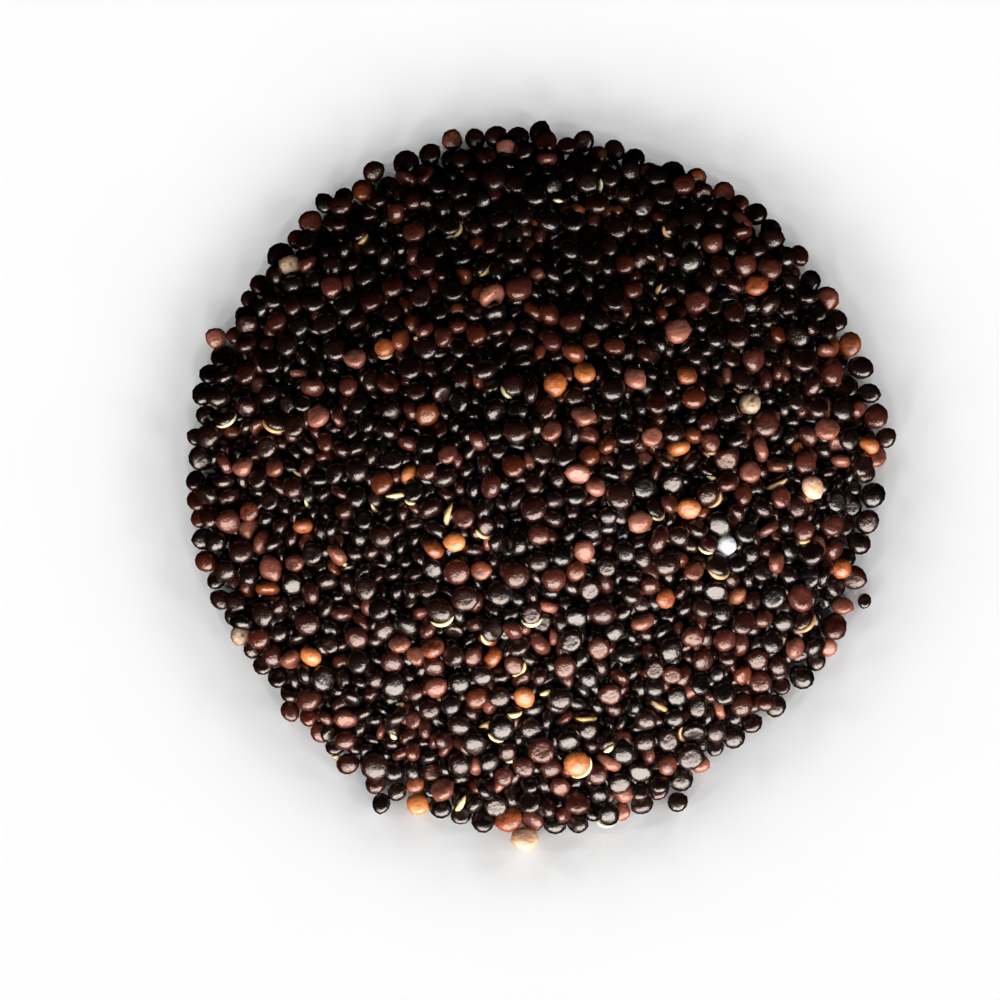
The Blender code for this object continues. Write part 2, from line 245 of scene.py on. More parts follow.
# %% Settle the heap
def keep_on_table(places, axis, radius, thickness):
    """Holds the strays at their spots, and lifts every grain out of the table."""
    places[: len(PINNED), :2] = PINNED[:, :2]
    places[: len(PINNED), 2] = 0
    places[:, 2] = np.maximum(places[:, 2], half_extent(axis[:, 2], radius, thickness))


def settle():
    """Place, axis, radius and half thickness of every grain after the settling steps."""
    places, axis, radius, thickness = scattered(np.random.default_rng(SEED))
    for step in range(SETTLING_STEPS):
        keep_on_table(places, axis, radius, thickness)
        if step % PAIRS_EVERY == 0:
            # Rounded, so that the heap settles alike on every machine.
            places, axis = np.round(places, 6), np.round(axis, 6)
            pair = near_pairs(places)
        move, turn = contact_moves(pair, places, axis, radius, thickness)
        places += np.clip(move, -LONGEST_MOVE, LONGEST_MOVE)
        height, normal = core_surface(places[:, 0], places[:, 1])
        places -= (SINKING if step < SETTLING_STEPS - CALM_STEPS else CALM_SINKING) * normal
        on_table = (places[:, 2] < TABLE_BAND * radius)[:, None]
        up = np.where(on_table, (0, 0, 1), normal)
        side = np.sign((axis * up).sum(axis=1, keepdims=True))
        axis = axis + turn + np.where(on_table, LYING_ON_TABLE, LYING_DOWN) * side * up
        axis /= np.linalg.norm(axis, axis=1, keepdims=True)
        spread = np.hypot(places[:, 0], places[:, 1])
        limit = REACH * outline(np.arctan2(places[:, 1], places[:, 0]))
        inward = INWARD_PULL * np.maximum(spread - limit, 0) / np.maximum(spread, 1e-9)
        places[:, :2] -= inward[:, None] * places[:, :2]
        lift = half_extent((axis * normal).sum(axis=1), radius, thickness)
        sunk = np.maximum(lift - (places[:, 2] - height) * normal[:, 2], 0)
        places += (sunk * (height > EDGE_OF_CORE))[:, None] * normal
    keep_on_table(places, axis, radius, thickness)
    return places, axis, radius, thickness


places, axis, radius, thickness = settle()
sides = half_extent(axis, radius[:, None], thickness[:, None])
lowest, highest = (places - sides).min(axis=0), (places + sides).max(axis=0)
centre_shift = (lowest + highest) / 2 * (1, 1, 0)
places -= centre_shift
print("heap settled:", np.round(highest - lowest, 1), "mm")

# %% [markdown]
# ## Which grains show
# Grains deep in the heap can't be seen, and leaving them out keeps the meshes light. Seen from
# above, a grain shows where its upper surface is the highest one. A square map keeps the greatest
# height over each cell, and every grain counts the cells where it owns that height. Grains near
# the table and far out of the core are always made, because they show from the side.

# %% Map the heap from above
MAP_CELL = 0.12
CELLS_PER_GRAIN = 12
# Half the map's side, as a multiple of the heap's radius.
MAP_REACH = 1.2
# A grain is made where more than this area of it shows, in square millimetres, where its middle
# is lower than this, or where it is further out of the core than this, both in millimetres.
LEAST_SHOWN = 0.04
FOOT_BAND = 2.5
OUTER_LAYER = 2.0


def upper_surface(x, y, place, axis, radius, thickness):
    """Height of a grain over a point.

    With w the way from the grain's middle, it is the upper root of
    |w|^2 / r^2 + (w.axis)^2 (1/t^2 - 1/r^2) = 1.
    """
    dx, dy = x - place[..., 0], y - place[..., 1]
    extra = 1 / thickness**2 - 1 / radius**2
    flat = dx * axis[..., 0] + dy * axis[..., 1]
    a = 1 / radius**2 + extra * axis[..., 2] ** 2
    b = 2 * extra * flat * axis[..., 2]
    c = (dx**2 + dy**2) / radius**2 + extra * flat**2 - 1
    root = b**2 - 4 * a * c
    height = (-b + np.sqrt(np.maximum(root, 0))) / (2 * a)
    return np.where(root > 0, place[..., 2] + height, -np.inf)


def area_from_above():
    """Area in square millimetres of each grain that no other grain covers."""
    steps = np.arange(-CELLS_PER_GRAIN, CELLS_PER_GRAIN + 1)
    step_x, step_y = (side.ravel() for side in np.meshgrid(steps, steps, indexing="ij"))
    column = np.round(places[:, :1] / MAP_CELL).astype(int) + step_x
    row = np.round(places[:, 1:2] / MAP_CELL).astype(int) + step_y
    grain = [value[:, None] for value in (places, axis, radius, thickness)]
    heights = upper_surface(column * MAP_CELL, row * MAP_CELL, *grain)
    half = int(MAP_REACH * REACH / MAP_CELL)
    grid = np.zeros((2 * half + 1, 2 * half + 1))
    np.maximum.at(grid, (column + half, row + half), heights)
    return (heights >= grid[column + half, row + half]).sum(axis=1) * MAP_CELL**2


shown_area = area_from_above()
core_height, core_normal = core_surface(places[:, 0], places[:, 1])
out_of_core = (places[:, 2] - core_height) * core_normal[:, 2]
at_the_foot = places[:, 2] < FOOT_BAND
shows = (shown_area > LEAST_SHOWN) | at_the_foot | (out_of_core > OUTER_LAYER)
print(int(shows.sum()), "of", GRAIN_COUNT, "grains are made")

# %% [markdown]
# ## Which kind each grain is
# Black quinoa is never only black. Kinds are drawn by their share of the heap, and then the few
# grains that catch the eye in the photograph, the russet, straw, peach, white and wrinkled ones,
# are put where they lie there: each spot, a column and a row of the photograph, takes the nearest
# grain that shows well. A colour drawn at random for each grain would miss these landmarks.

# %% Deal out the kinds
KINDS = ("black", "umber", "maroon", "chestnut", "wrinkled", "russet", "straw", "peach", "pale")
SHARES = (0.35, 0.24, 0.25, 0.045, 0.105, 0.010, 0, 0, 0)
KIND_SEED = 11
# Millimetres in a pixel, degrees of the camera above the table, and the heap's middle in pixels.
PIXEL = 0.09
CAMERA_ELEVATION = 84
PHOTO_MIDDLE = (541, 485)
# A grain shows well where more than this area of it, in square millimetres, can be seen.
WELL_SHOWN = 1.8
FAR_AWAY = 1e6
# Columns and rows of the grains that catch the eye.
RUSSET_SPOTS = (
    (430, 647), (739, 596), (409, 479), (585, 364), (311, 533), (686, 449), (485, 574), (545, 391),
    (687, 519), (670, 364), (573, 760), (757, 276), (249, 510), (514, 818), (666, 772), (392, 358),
    (525, 701), (302, 646), (871, 430), (702, 181), (858, 352), (437, 640), (838, 567), (412, 803),
)
STRAW_SPOTS = ((250, 632), (738, 400), (297, 265))
PEACH_SPOTS = ((528, 838), (794, 487), (738, 606))
PALE_SPOTS = ((722, 548),)
WRINKLED_SPOTS = (
    (775, 467), (413, 672), (551, 431), (433, 765), (320, 731), (848, 606), (555, 596),
)


def picture_place():
    """Each grain's column and row in the photograph, which looks down steeply on the heap.

    The row falls with y times the sine of the camera's elevation plus z times its cosine.
    """
    tilt = np.radians(CAMERA_ELEVATION)
    up = places[:, 1] * np.sin(tilt) + places[:, 2] * np.cos(tilt)
    return PHOTO_MIDDLE[0] + places[:, 0] / PIXEL, PHOTO_MIDDLE[1] - up / PIXEL


def nearest_shown(spots):
    """For each spot, the nearest grain that shows well."""
    column, row = picture_place()
    far = np.where(shown_area > WELL_SHOWN, 0, FAR_AWAY)
    return [int(np.argmin(np.hypot(column - x, row - y) + far)) for x, y in spots]


kind_draws = np.random.default_rng(KIND_SEED)
kind = kind_draws.choice(len(KINDS), GRAIN_COUNT, p=SHARES)
CHOSEN_SPOTS = {
    "wrinkled": WRINKLED_SPOTS,
    "straw": STRAW_SPOTS,
    "russet": RUSSET_SPOTS,
    "peach": PEACH_SPOTS,
    "pale": PALE_SPOTS,
}
for name, spots in CHOSEN_SPOTS.items():
    kind[nearest_shown(spots)] = KINDS.index(name)
lone = len(STRAYS)
kind[lone] = KINDS.index("umber")
print({name: int((shows & (kind == k)).sum()) for k, name in enumerate(KINDS)})

# %% [markdown]
# ## The shape of one grain
# A quinoa seed is a thick disc with a round rim. The germ lies round it like a tyre, so the two
# faces are a little hollow in the middle, and the germ's tip makes a small beak on the rim. A
# sphere scaled flat would have pointed edges and domed faces. Instead, a grid of two angles, the
# turn round the axis and the rise from the rim to the middle of a face, is shaped by powers of
# sine and cosine. Twelve columns and six rings are enough for a grain this small, and the points
# of all grains of a kind are made at once as whole arrays, with no loop over the grains.

# %% Points of many grains at once
AROUND = 12
RISES = np.radians([-66, -40, -14, 14, 40, 66])
# Powers below one make the rim fuller, and above one make deep hollows rarer.
RIM_POWER = 0.8
HOLLOW_POWER = 1.6
WRINKLE_TURNS = (2, 3, 5)
# The beak at the germ's tip: its length as a share of the radius, and its width in radians.
BEAK_LENGTH = 0.10
BEAK_WIDTH = 0.35
NARROWEST_OVAL = 0.88
# No point comes nearer to the table than this, in millimetres.
TABLE_GAP = 0.01


def grain_surfaces(which, draws, wrinkle, deepest):
    """Points of all the chosen grains: radius cos(rise)^0.8, height sin(rise) less a hollow.

    The hollow is (1 - radius^2)^2 deep in the middle of a face. Waves of two to five turns, with
    phases drawn for each grain, push the surface in and out by the wrinkle's share of its radius.
    The beak is a bell curve of the turn, and fades with radius^4 from the rim to the middle.
    """
    count = len(which)
    turn = np.linspace(0, 2 * np.pi, AROUND, endpoint=False)
    rise, turn = np.meshgrid(RISES, turn, indexing="ij")
    rise = np.concatenate([[-np.pi / 2], rise.ravel(), [np.pi / 2]])
    turn = np.concatenate([[0], turn.ravel(), [0]])
    flat = np.abs(np.cos(rise)) ** RIM_POWER
    hollow = deepest * draws.uniform(0, 1, (count, 1)) ** HOLLOW_POWER
    high = np.sin(rise) * (1 - hollow * (1 - flat**2) ** 2)
    swell = np.ones((count, len(rise)))
    for turns in WRINKLE_TURNS:
        phase, lean = draws.uniform(0, 2 * np.pi, (2, count, 1))
        swell += wrinkle / turns**0.5 * np.sin(turns * turn + phase) * np.cos(2 * rise + lean)
    beak = BEAK_LENGTH * np.exp(-(((turn - np.pi) / BEAK_WIDTH) ** 2)) * flat**4
    oval = draws.uniform(NARROWEST_OVAL, 1.0, (count, 1))
    across = (flat * swell + beak) * np.cos(turn)
    along = (flat * swell + beak) * np.sin(turn) * oval
    local = np.stack([across, along, high * swell], axis=-1)
    local *= np.stack([radius[which], radius[which], thickness[which]], axis=-1)[:, None]
    points = np.einsum("npk,nkc->npc", local, grain_frames(which, draws))
    points += places[which][:, None]
    points[..., 2] = np.maximum(points[..., 2], TABLE_GAP)
    return points, flat


def grain_frames(which, draws):
    """Three unit vectors of each grain: two across its disc at a drawn turn, and its axis."""
    helper = np.where(np.abs(axis[which, :1]) > 0.9, (0.0, 1.0, 0.0), (1.0, 0.0, 0.0))
    side = np.cross(axis[which], helper)
    side /= np.linalg.norm(side, axis=1, keepdims=True)
    other = np.cross(axis[which], side)
    spin = draws.uniform(0, 2 * np.pi, (len(which), 1))
    first = side * np.cos(spin) + other * np.sin(spin)
    return np.stack([first, np.cross(axis[which], first), axis[which]], axis=1)


def grain_faces():
    """Faces of one grain: rows of quads between the rings, and a fan of triangles at each pole."""
    rows = len(RISES)
    ring = 1 + np.arange(rows)[:, None] * AROUND + np.arange(AROUND)
    after = np.roll(ring, -1, axis=1)
    quads = np.stack([ring[:-1], after[:-1], after[1:], ring[1:]], axis=-1).reshape(-1, 4)
    top = np.full(AROUND, 1 + rows * AROUND)
    below = np.stack([np.zeros(AROUND, int), after[0], ring[0]], axis=-1)
    above = np.stack([top, ring[-1], after[-1]], axis=-1)
    return quads, np.concatenate([below, above])


print("one grain has", sum(len(faces) for faces in grain_faces()), "faces")

# %% [markdown]
# ## One mesh for each kind
# Instances would be lighter, but they don't survive the export, so the grains of a kind are joined
# as they are made: the same faces again and again, each time with the point numbers moved on.
# Every point also carries its grain's tone and how near it is to the rim, for the material.

# %% Join the grains of a kind
def new_piece(name, points, face_groups, tone=None, rim=None):
    """A smooth-shaded mesh object at the origin from points in millimetres and lists of faces."""
    mesh = bpy.data.meshes.new(name)
    faces = [tuple(face) for group in face_groups for face in group.tolist()]
    mesh.from_pydata((points * MILLIMETRE).tolist(), [], faces)
    mesh.shade_smooth()
    for label, values in (("seed_tone", tone), ("seed_rim", rim)):
        if values is not None:
            layer = mesh.attributes.new(label, "FLOAT", "POINT")
            layer.data.foreach_set("value", np.asarray(values, np.float32))
    piece = bpy.data.objects.new(name, mesh)
    bpy.context.scene.collection.objects.link(piece)
    return piece


def grains_piece(name, which, seed, wrinkle, deepest):
    """All chosen grains as one piece."""
    draws = np.random.default_rng(seed)
    points, flat = grain_surfaces(which, draws, wrinkle, deepest)
    count, each = points.shape[:2]
    moved_on = np.arange(count)[:, None, None] * each
    groups = [(faces[None] + moved_on).reshape(-1, faces.shape[1]) for faces in grain_faces()]
    tone = np.repeat(draws.uniform(0, 1, count), each)
    rim = np.tile(flat, count)
    return new_piece(name, points.reshape(-1, 3), groups, tone, rim)


FIRST_KIND_SEED = 20
LONE_SEED = 31
# Depth of the wrinkles and of the deepest hollow, as shares of the grain's size.
RELIEF = {
    "black": (0.025, 0.50),
    "umber": (0.030, 0.50),
    "maroon": (0.030, 0.45),
    "chestnut": (0.030, 0.40),
    "wrinkled": (0.080, 0.60),
    "russet": (0.035, 0.30),
    "straw": (0.050, 0.80),
    "peach": (0.050, 0.20),
    "pale": (0.060, 0.20),
}
pieces = {}
for number, name in enumerate(KINDS):
    chosen = shows & (kind == number)
    chosen[lone] = False
    which, seed = np.flatnonzero(chosen), FIRST_KIND_SEED + number
    pieces[name] = grains_piece(f"{name}_grains", which, seed, *RELIEF[name])
    print(pieces[name].name, len(pieces[name].data.polygons), "faces")
pieces["lone"] = grains_piece("lone_grain", np.array([lone]), LONE_SEED, *RELIEF["umber"])

# %% [markdown]
# ## The inside of the heap
# Between the grains that show, the eye falls on more grains in deep shadow. They are too far down
# to need their own shape, so the core only has bumps like the tops of grains. A polar grid follows
# the core's surface, and two crossed waves, bent by a third, raise bumps a little over 1 mm apart.
# Plain noise would give no round tops, and a fine displaced sphere would need far more faces.

# %% The dark core
CORE_RINGS = 90
CORE_SPOKES = 300
# How far the core stays inside the outline, and its lowest skin and its foot over the table.
CORE_INSET = 0.4
LOWEST_SKIN = 0.05
CORE_FOOT = 0.02
# Height of the bumps, and radians of their waves for a millimetre.
BUMP_HEIGHT = 0.35
BUMP_WAVE = 3.3
# The third wave: how far it shifts the first, its radians for a millimetre along x and along y,
# and how much further it shifts the second.
BEND = 0.8
BEND_WAVE = (0.4, 0.9)
SECOND_BEND = 1.3


def core_piece():
    """The core's surface on a polar grid, with bumps from the product of two sine waves."""
    share = np.linspace(0, 1, CORE_RINGS)[1:, None]
    bearing = np.linspace(0, 2 * np.pi, CORE_SPOKES, endpoint=False)[None, :]
    spread = share * (CORE_RADIUS - CORE_INSET) * outline(bearing)
    x, y = spread * np.cos(bearing), spread * np.sin(bearing)
    bend = BEND * np.sin(BEND_WAVE[1] * y + BEND_WAVE[0] * x)
    bumps = np.sin(BUMP_WAVE * x + bend) * np.sin(BUMP_WAVE * y + SECOND_BEND * bend)
    height = np.maximum(core_surface(x, y)[0] + BUMP_HEIGHT * (bumps - 1), LOWEST_SKIN)
    shell = np.stack([x, y, height], axis=-1).reshape(-1, 3) - centre_shift
    foot = shell[-CORE_SPOKES:] * (1, 1, 0) + (0, 0, CORE_FOOT)
    peak = core_surface(np.array(0.0), np.array(0.0))[0] - BUMP_HEIGHT
    ends = np.array([[0, 0, peak], [0, 0, CORE_FOOT]])
    points = np.concatenate([shell, foot, ends - centre_shift])
    ring = np.arange(CORE_RINGS)[:, None] * CORE_SPOKES + np.arange(CORE_SPOKES)
    after = np.roll(ring, -1, axis=1)
    quads = np.stack([ring[:-1], ring[1:], after[1:], after[:-1]], axis=-1).reshape(-1, 4)
    top, bottom = len(points) - 2, len(points) - 1
    fan = np.stack([np.full(CORE_SPOKES, top), ring[0], after[0]], axis=-1)
    base = np.stack([np.full(CORE_SPOKES, bottom), after[-1], ring[-1]], axis=-1)
    return new_piece("heap_core", points, [quads, fan, base])


pieces["core"] = core_piece()
print("core has", len(pieces["core"].data.polygons), "faces")

# %% [markdown]
# ## Loose germs
# Quinoa's germ is a pale curl round the edge of the seed. On some grains it has swollen or come
# away, and shows as a straw-coloured crescent, most often in the photograph on the lit side of
# the grain. Each is a tube carried along an arc a little outside the rim, thick in the middle and
# pointed at both ends. A torus with part of it cut off would have blunt ends.

# %% Crescents round chosen grains
GERM_SPOTS = (
    (370, 197), (580, 775), (823, 294), (739, 378), (462, 233), (404, 490), (799, 538), (405, 487),
    (275, 410), (338, 548), (711, 442), (520, 395), (490, 735), (520, 740), (571, 716), (445, 615),
    (704, 559), (390, 343), (660, 700), (600, 826),
)
GERM_COUNT = 56
GERM_SEED = 41
GERM_STEPS = 12
GERM_SIDES = 6
# The side of a grain where its germ shows, towards the light, and how far it strays in radians.
GERM_SIDE = np.array([0.15, -0.9, 0.4])
GERM_STRAYS = 0.5
# Drawn germs go on black, umber and maroon grains that show at least this area.
DARK_KINDS = 3
GERM_SHOWN = 1.2
# Degrees of the arc, radius of the tube at its thickest in millimetres, and the arc's radius and
# the tube's height as multiples of the grain's radius and of the tube's width.
GERM_SPANS = (45, 150)
GERM_THICKNESS = (0.15, 0.27)
GERM_ARC = 1.04
GERM_HEIGHT = 1.25
# The tube tapers like a sine to this power, which starts and ends a little above zero, where a
# small face closes each end.
GERM_TAPER = 0.7
GERM_ENDS = 0.03


def germ_piece():
    """Tubes on arcs: radius times (cos, sin) of the arc, tube radius times a power of a sine."""
    draws = np.random.default_rng(GERM_SEED)
    well_seen = np.flatnonzero((shown_area > GERM_SHOWN) & (kind < DARK_KINDS))
    drawn = draws.choice(well_seen, GERM_COUNT - len(GERM_SPOTS), replace=False)
    which = np.concatenate([nearest_shown(GERM_SPOTS), drawn])
    count = len(which)
    frames = grain_frames(which, draws)
    towards_front = frames[:, :2] @ GERM_SIDE
    middle = np.arctan2(towards_front[:, 1], towards_front[:, 0])[:, None]
    middle = middle + draws.normal(0, GERM_STRAYS, (count, 1))
    share = np.linspace(0, 1, GERM_STEPS)
    span = np.radians(draws.uniform(*GERM_SPANS, (count, 1)))
    arc = middle + (share - 0.5) * span
    taper = np.sin(np.pi * (GERM_ENDS + (1 - 2 * GERM_ENDS) * share)) ** GERM_TAPER
    thick = draws.uniform(*GERM_THICKNESS, (count, 1)) * taper
    round_tube = np.linspace(0, 2 * np.pi, GERM_SIDES, endpoint=False)
    out = radius[which][:, None, None] * GERM_ARC + thick[..., None] * np.cos(round_tube)
    local = np.stack(
        [
            out * np.cos(arc)[..., None],
            out * np.sin(arc)[..., None],
            thick[..., None] * np.sin(round_tube) * GERM_HEIGHT,
        ],
        axis=-1,
    )
    points = np.einsum("nstk,nkc->nstc", local, frames) + places[which][:, None, None]
    points[..., 2] = np.maximum(points[..., 2], TABLE_GAP)
    ring = np.arange(GERM_STEPS)[:, None] * GERM_SIDES + np.arange(GERM_SIDES)
    after = np.roll(ring, -1, axis=1)
    quads = np.stack([ring[:-1], ring[1:], after[1:], after[:-1]], axis=-1).reshape(-1, 4)
    ends = np.stack([ring[0], ring[-1][::-1]])
    moved_on = np.arange(count)[:, None, None] * GERM_STEPS * GERM_SIDES
    groups = [(faces[None] + moved_on).reshape(-1, faces.shape[1]) for faces in (quads, ends)]
    tone = np.repeat(draws.uniform(0, 1, count), GERM_STEPS * GERM_SIDES)
    return new_piece("loose_germs", points.reshape(-1, 3), groups, tone)


pieces["germ"] = germ_piece()
print("germs:", GERM_COUNT, "with", len(pieces["germ"].data.polygons), "faces")

# %% [markdown]
# ## Seed coats
# A quinoa coat is a smooth waxy skin with tiny pits. On the dark grains a window shows as a clear
# pale patch, and on russet and straw ones the skin is duller. The tone of each grain picks its
# colour on a ramp from the darkest to the lightest of its kind, a soft noise mottles it, and the
# same noise changes the roughness a little. Two bumps follow: a coarse one for dents and wrinkles,
# and a fine one for the pitted skin. An image texture would need a flat map of every grain.

# %% Material helpers
def link(tree, source, target):
    """Joins two node sockets."""
    tree.links.new(source, target)


def add_node(tree, kind_of_node, **settings):
    """A node with its plain settings, such as an operation or a blend type."""
    made = tree.nodes.new(kind_of_node)
    for label, value in settings.items():
        setattr(made, label, value)
    return made


def noise(tree, coordinates, scale, detail):
    """Noise in the object's own metres."""
    made = add_node(tree, "ShaderNodeTexNoise")
    made.inputs["Scale"].default_value = scale
    made.inputs["Detail"].default_value = detail
    link(tree, coordinates, made.inputs["Vector"])
    return made.outputs["Fac"]


def ramp(tree, factor, colours, positions=None):
    """Steps of colour over a factor from 0 to 1, even ones where no positions are given."""
    made = add_node(tree, "ShaderNodeValToRGB")
    while len(made.color_ramp.elements) < len(colours):
        made.color_ramp.elements.new(0.5)
    for number, colour in enumerate(colours):
        place = number / (len(colours) - 1) if positions is None else positions[number]
        made.color_ramp.elements[number].position = place
        made.color_ramp.elements[number].color = (*colour, 1)
    link(tree, factor, made.inputs["Fac"])
    return made.outputs["Color"]


def between(tree, factor, low, high):
    """A factor from 0 to 1 stretched to run from low to high."""
    made = add_node(tree, "ShaderNodeMapRange")
    made.inputs["To Min"].default_value = low
    made.inputs["To Max"].default_value = high
    link(tree, factor, made.inputs["Value"])
    return made.outputs["Result"]


# %% [markdown]
# All the coats differ in colour, shine and depth of their dents, and not in how they are built, so
# one function makes them all. Straw-coloured grains have one thing more: a dark dot in the middle
# of each face and a dark rim, which the rim value of every point tells the material.

# %% One recipe for every seed coat
RING_POSITIONS = (0.0, 0.14, 0.24, 0.80, 1.0)
GREYS_OF_A_RING = tuple((grey,) * 3 for grey in (1.0, 1.0, 0.0, 0.0, 0.9))
# Scale and detail of each noise, in the object's own metres.
MOTTLE_NOISE = (1400, 3)
DENT_NOISE = (2600, 2)
PIT_NOISE = (9000, 2)
# Height in metres of a dent and of a pit at full strength.
DENT_HEIGHT = 0.0003
PIT_HEIGHT = 0.0001
# A waxy skin reflects a little more than plain plastic does.
WAX_LEVEL = 0.82


def bump(tree, coordinates, scale_and_detail, strength, height):
    """A bump node over its own noise."""
    made = add_node(tree, "ShaderNodeBump")
    made.inputs["Strength"].default_value = strength
    made.inputs["Distance"].default_value = height
    link(tree, noise(tree, coordinates, *scale_and_detail), made.inputs["Height"])
    return made


def seed_coat(name, colours, shine, dents, pits, tint=(1, 1, 1), mottling=0.5, rim_colour=None):
    """Waxy coat: colour by tone and mottling, roughness between the two shines, two bumps."""
    made = bpy.data.materials.new(name)
    made.use_nodes = True
    tree = made.node_tree
    shader = tree.nodes["Principled BSDF"]
    coordinates = add_node(tree, "ShaderNodeTexCoord").outputs["Object"]
    mottle = noise(tree, coordinates, *MOTTLE_NOISE)
    tone = add_node(tree, "ShaderNodeAttribute", attribute_name="seed_tone").outputs["Fac"]
    # The factor of the ramp is the tone plus the mottling, which swings evenly about zero.
    blend = add_node(tree, "ShaderNodeMath", operation="MULTIPLY_ADD")
    link(tree, mottle, blend.inputs[0])
    blend.inputs[1].default_value = mottling
    offset = add_node(tree, "ShaderNodeMath", operation="SUBTRACT")
    link(tree, tone, offset.inputs[0])
    offset.inputs[1].default_value = mottling / 2
    link(tree, offset.outputs[0], blend.inputs[2])
    colour = ramp(tree, blend.outputs[0], colours)
    if rim_colour is not None:
        rim = add_node(tree, "ShaderNodeAttribute", attribute_name="seed_rim").outputs["Fac"]
        edge = ramp(tree, rim, GREYS_OF_A_RING, RING_POSITIONS)
        mix = add_node(tree, "ShaderNodeMix", data_type="RGBA")
        link(tree, edge, mix.inputs["Factor"])
        link(tree, colour, mix.inputs["A"])
        mix.inputs["B"].default_value = (*rim_colour, 1)
        colour = mix.outputs["Result"]
    link(tree, colour, shader.inputs["Base Color"])
    link(tree, between(tree, mottle, *shine), shader.inputs["Roughness"])
    coarse = bump(tree, coordinates, DENT_NOISE, dents, DENT_HEIGHT)
    fine = bump(tree, coordinates, PIT_NOISE, pits, PIT_HEIGHT)
    link(tree, coarse.outputs["Normal"], fine.inputs["Normal"])
    link(tree, fine.outputs["Normal"], shader.inputs["Normal"])
    shader.inputs["Specular IOR Level"].default_value = WAX_LEVEL
    shader.inputs["Specular Tint"].default_value = (*tint, 1)
    return made


# %% [markdown]
# The colours are linear, as the shader takes them, and were set by comparing renders with the
# photograph. The dark coats have hardly any colour of their own: what the eye sees is the window
# in the wax, which a reddish tint turns slightly pink. The lighter coats are duller, and show the
# colour of the skin. One coat with a random colour would mix shine and colour in ways that no
# real grain shows, so each kind has its own.

# %% The coats of this heap
# Each coat: colours from dark to light, the two roughnesses, dents, pits, and what else differs.
coats = {
    "black": seed_coat(
        "black_coat",
        [(0.0013, 0.0005, 0.0004), (0.0032, 0.0011, 0.0009), (0.008, 0.0028, 0.002)],
        (0.19, 0.31), 0.22, 0.13, tint=(1, 0.94, 0.91),
    ),
    "umber": seed_coat(
        "umber_coat",
        [(0.0026, 0.0009, 0.0007), (0.0060, 0.0017, 0.0012), (0.014, 0.0040, 0.0026)],
        (0.20, 0.33), 0.24, 0.13, tint=(1, 0.90, 0.86),
    ),
    "maroon": seed_coat(
        "maroon_coat",
        [(0.0048, 0.0009, 0.0007), (0.017, 0.0028, 0.0019), (0.064, 0.014, 0.0086)],
        (0.21, 0.34), 0.26, 0.14, tint=(1, 0.83, 0.77),
    ),
    "chestnut": seed_coat(
        "chestnut_coat",
        [(0.021, 0.0036, 0.0015), (0.064, 0.012, 0.0045), (0.15, 0.036, 0.011)],
        (0.20, 0.34), 0.20, 0.12, tint=(1, 0.80, 0.70),
    ),
    "wrinkled": seed_coat(
        "wrinkled_coat",
        [(0.022, 0.004, 0.0026), (0.085, 0.022, 0.014), (0.25, 0.09, 0.06)],
        (0.22, 0.36), 0.28, 0.16, tint=(1, 0.76, 0.68),
    ),
    "russet": seed_coat(
        "russet_coat",
        [(0.067, 0.012, 0.003), (0.30, 0.070, 0.016), (0.50, 0.165, 0.045)],
        (0.32, 0.46), 0.3, 0.2, mottling=1.0,
    ),
    "straw": seed_coat(
        "straw_coat",
        [(0.16, 0.10, 0.055), (0.32, 0.22, 0.135), (0.52, 0.41, 0.28)],
        (0.45, 0.62), 0.5, 0.3, rim_colour=(0.12, 0.06, 0.03),
    ),
    "peach": seed_coat(
        "peach_coat",
        [(0.30, 0.10, 0.04), (0.48, 0.25, 0.13), (0.60, 0.38, 0.25)],
        (0.40, 0.55), 0.4, 0.2, mottling=1.0,
    ),
    "pale": seed_coat(
        "pale_coat",
        [(0.24, 0.24, 0.25), (0.36, 0.37, 0.40), (0.46, 0.48, 0.52)],
        (0.40, 0.55), 0.4, 0.2,
    ),
    "germ": seed_coat(
        "germ_skin",
        [(0.32, 0.17, 0.058), (0.6, 0.41, 0.17), (0.72, 0.72, 0.41)],
        (0.40, 0.55), 0.3, 0.2,
    ),
    "core": seed_coat(
        "core_coat",
        [(0.0026, 0.0016, 0.0014), (0.0051, 0.0026, 0.0019)],
        (0.45, 0.60), 0.5, 0.2,
    ),
}
coats["lone"] = coats["umber"]
for name, piece in pieces.items():
    piece.data.materials.append(coats[name])
print(len(coats), "coats")

# %% [markdown]
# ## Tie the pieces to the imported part
# The part has one body, so all pieces ride on it. The grains, germs and core stand for the heap's
# solid, and the single grain beside the heap stands for its own.

# %% Ride and replace
for name, piece in pieces.items():
    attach(piece, "root")
    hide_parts("loose_grain" if name == "lone" else "quinoa_heap")
print(len(pieces), "pieces ride on root")

# %% [markdown]
# ## Table and light
# The photograph has a pure white table and one broad soft light, low in front, like a window.
# It lights the near side of each grain and leaves the far slope and all gaps dark. If the same
# lamp also lit the table, its white would spill back into the gaps, so light linking keeps the
# window for the grains, and lights for the table alone give the white and the soft grey halo.

# %% The table
FLOOR_SIDE = 8.0
TABLE_WHITE = 0.9
TABLE_ROUGHNESS = 0.9
TABLE_SHEEN = 0.1
bpy.ops.mesh.primitive_plane_add(size=FLOOR_SIDE)
floor = bpy.context.object
floor.name = "table_top"
white = bpy.data.materials.new("white_table")
white.use_nodes = True
surface = white.node_tree.nodes["Principled BSDF"].inputs
surface["Base Color"].default_value = (TABLE_WHITE, TABLE_WHITE, TABLE_WHITE, 1)
surface["Roughness"].default_value = TABLE_ROUGHNESS
surface["Specular IOR Level"].default_value = TABLE_SHEEN
floor.data.materials.append(white)
floor.visible_diffuse = False
floor.visible_glossy = False


def light_group(name, members):
    """A collection that a light is linked to."""
    group = bpy.data.collections.new(name)
    for member in members:
        group.objects.link(member)
    return group


table_only = light_group("lit_table", [floor])
grains_only = light_group("lit_grains", list(pieces.values()))

